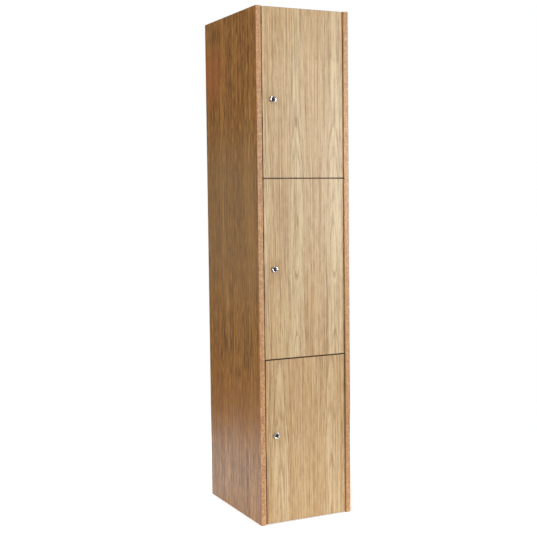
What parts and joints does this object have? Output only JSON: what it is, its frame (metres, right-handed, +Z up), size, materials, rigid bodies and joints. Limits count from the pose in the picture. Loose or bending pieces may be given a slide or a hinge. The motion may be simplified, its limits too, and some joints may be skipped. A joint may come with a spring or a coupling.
{
  "type": "coin operated locker",
  "caption": "Tall three-tier wood locker with inset doors on continuous hinges and coin-return key locks.",
  "frame": {"origin": "centre of the footprint, on the surface the locker stands on", "axes": "+Z up, front with the doors faces -Y, +X to the right of a person facing the doors"},
  "size_m": [0.305, 0.3856, 1.524],
  "materials": {
    "side_oak": "satin lacquered oak veneer",
    "band_oak": "satin lacquered solid oak lipping",
    "inner_oak": "satin oak-faced board",
    "back_hardboard": "plain hardboard",
    "door_oak": "satin lacquered oak veneer",
    "hinge_bronze": "antique brass",
    "chrome": "bright chrome",
    "steel": "zinc plated",
    "case_plastic": "moulded black plastic",
    "token_brass": "plain stamped token"
  },
  "bodies": {
    "carcass": {"left_side_panel": "side_oak", "right_side_panel": "side_oak", "left_edge_band": "band_oak", "right_edge_band": "band_oak", "top_panel": "side_oak", "bottom_panel": "inner_oak", "upper_shelf": "inner_oak", "lower_shelf": "inner_oak", "back_panel": "back_hardboard", "upper_hinge_frame_leaf": "hinge_bronze", "upper_hinge_pin": "hinge_bronze", "upper_strike_plate": "steel", "middle_hinge_frame_leaf": "hinge_bronze", "middle_hinge_pin": "hinge_bronze", "middle_strike_plate": "steel", "lower_hinge_frame_leaf": "hinge_bronze", "lower_hinge_pin": "hinge_bronze", "lower_strike_plate": "steel"},
    "upper_door_body": {"upper_door": "door_oak", "upper_hinge_door_leaf": "hinge_bronze", "upper_lock_case": "case_plastic", "upper_lock_cover": "case_plastic", "upper_lock_barrel": "chrome"},
    "upper_plug_body": {"upper_key_plug": "steel", "upper_lock_cam": "steel"},
    "upper_bolt_body": {"upper_deadbolt": "steel"},
    "upper_catch_body": {"upper_coin_catch": "steel"},
    "upper_coin_body": {"upper_coin": "token_brass"},
    "middle_door_body": {"middle_door": "door_oak", "middle_hinge_door_leaf": "hinge_bronze", "middle_lock_case": "case_plastic", "middle_lock_cover": "case_plastic", "middle_lock_barrel": "chrome"},
    "middle_plug_body": {"middle_key_plug": "steel", "middle_lock_cam": "steel"},
    "middle_bolt_body": {"middle_deadbolt": "steel"},
    "middle_catch_body": {"middle_coin_catch": "steel"},
    "middle_coin_body": {"middle_coin": "token_brass"},
    "lower_door_body": {"lower_door": "door_oak", "lower_hinge_door_leaf": "hinge_bronze", "lower_lock_case": "case_plastic", "lower_lock_cover": "case_plastic", "lower_lock_barrel": "chrome"},
    "lower_plug_body": {"lower_key_plug": "steel", "lower_lock_cam": "steel"},
    "lower_bolt_body": {"lower_deadbolt": "steel"},
    "lower_catch_body": {"lower_coin_catch": "steel"},
    "lower_coin_body": {"lower_coin": "token_brass"}
  },
  "joints": [
    {"name": "upper_door_hinge", "type": "hinge", "parent": "carcass", "child": "upper_door_body", "pos_m": [0.135, -0.19005, 1.27625], "axis": [0, 0, 1], "range_deg": [0, 170]},
    {"name": "upper_key_turn", "type": "hinge", "parent": "upper_door_body", "child": "upper_plug_body", "pos_m": [-0.101, -0.18825, 1.2573], "axis": [0, -1, 0], "range_deg": [0, 90]},
    {"name": "upper_bolt_slide", "type": "slide", "parent": "upper_door_body", "child": "upper_bolt_body", "axis": [-1, 0, 0], "range_m": [0, 0.016]},
    {"name": "upper_catch_swing", "type": "hinge", "parent": "upper_door_body", "child": "upper_catch_body", "pos_m": [-0.092, -0.15055, 1.2253], "axis": [0, 1, 0], "range_deg": [0, 20]},
    {"name": "upper_coin_lift", "type": "slide", "parent": "upper_door_body", "child": "upper_coin_body", "axis": [0, 0, 1], "range_m": [0, 0.044]},
    {"name": "middle_door_hinge", "type": "hinge", "parent": "carcass", "child": "middle_door_body", "pos_m": [0.135, -0.19005, 0.762], "axis": [0, 0, 1], "range_deg": [0, 170]},
    {"name": "middle_key_turn", "type": "hinge", "parent": "middle_door_body", "child": "middle_plug_body", "pos_m": [-0.101, -0.18825, 0.762], "axis": [0, -1, 0], "range_deg": [0, 90]},
    {"name": "middle_bolt_slide", "type": "slide", "parent": "middle_door_body", "child": "middle_bolt_body", "axis": [-1, 0, 0], "range_m": [0, 0.016]},
    {"name": "middle_catch_swing", "type": "hinge", "parent": "middle_door_body", "child": "middle_catch_body", "pos_m": [-0.092, -0.15055, 0.73], "axis": [0, 1, 0], "range_deg": [0, 20]},
    {"name": "middle_coin_lift", "type": "slide", "parent": "middle_door_body", "child": "middle_coin_body", "axis": [0, 0, 1], "range_m": [0, 0.044]},
    {"name": "lower_door_hinge", "type": "hinge", "parent": "carcass", "child": "lower_door_body", "pos_m": [0.135, -0.19005, 0.2485], "axis": [0, 0, 1], "range_deg": [0, 170]},
    {"name": "lower_key_turn", "type": "hinge", "parent": "lower_door_body", "child": "lower_plug_body", "pos_m": [-0.101, -0.18825, 0.26746], "axis": [0, -1, 0], "range_deg": [0, 90]},
    {"name": "lower_bolt_slide", "type": "slide", "parent": "lower_door_body", "child": "lower_bolt_body", "axis": [-1, 0, 0], "range_m": [0, 0.016]},
    {"name": "lower_catch_swing", "type": "hinge", "parent": "lower_door_body", "child": "lower_catch_body", "pos_m": [-0.092, -0.15055, 0.23546], "axis": [0, 1, 0], "range_deg": [0, 20]},
    {"name": "lower_coin_lift", "type": "slide", "parent": "lower_door_body", "child": "lower_coin_body", "axis": [0, 0, 1], "range_m": [0, 0.044]}
  ],
  "couplings": [
    {"joint": "upper_key_turn", "follows": "upper_bolt_slide", "rad_per_m": 98.17},
    {"joint": "upper_catch_swing", "follows": "upper_bolt_slide", "rad_per_m": 21.81},
    {"joint": "middle_key_turn", "follows": "middle_bolt_slide", "rad_per_m": 98.17},
    {"joint": "middle_catch_swing", "follows": "middle_bolt_slide", "rad_per_m": 21.81},
    {"joint": "lower_key_turn", "follows": "lower_bolt_slide", "rad_per_m": 98.17},
    {"joint": "lower_catch_swing", "follows": "lower_bolt_slide", "rad_per_m": 21.81}
  ]
}
